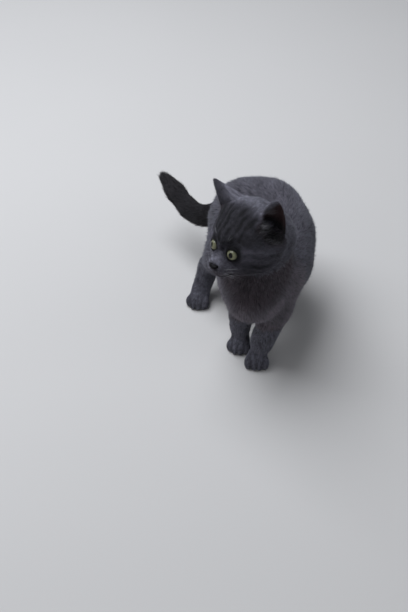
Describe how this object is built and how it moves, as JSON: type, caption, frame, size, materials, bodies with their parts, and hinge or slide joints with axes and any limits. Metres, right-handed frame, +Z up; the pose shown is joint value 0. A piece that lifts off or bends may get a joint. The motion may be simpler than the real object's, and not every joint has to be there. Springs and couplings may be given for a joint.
{
  "type": "cat",
  "caption": "Life-size still model of a young short-haired cat standing on four feet, its body bent in a curve and its head turned to its right.",
  "frame": {"origin": "on the floor, under the middle of the whole cat", "axes": "+Z up, the chest faces -Y, and the cat's left is +X"},
  "size_m": [0.1766, 0.2626, 0.2324],
  "materials": {
    "coat": "dense short slate-grey fur, matte",
    "eye": "wet and glossy, yellow-green iris round a black pupil",
    "nose": "moist slate-black leather"
  },
  "bodies": {
    "root": {"head": "coat", "ear_left": "coat", "ear_right": "coat", "eye_left": "eye", "eye_right": "eye", "nose": "nose", "neck": "coat", "chest": "coat", "belly": "coat", "hips": "coat", "tail_base": "coat", "tail_middle": "coat", "tail_tip": "coat", "foreleg_left": "coat", "forepaw_left": "coat", "foreleg_right": "coat", "forepaw_right": "coat", "hindleg_left": "coat", "hindpaw_left": "coat", "hindleg_right": "coat", "hindpaw_right": "coat"}
  },
  "joints": []
}
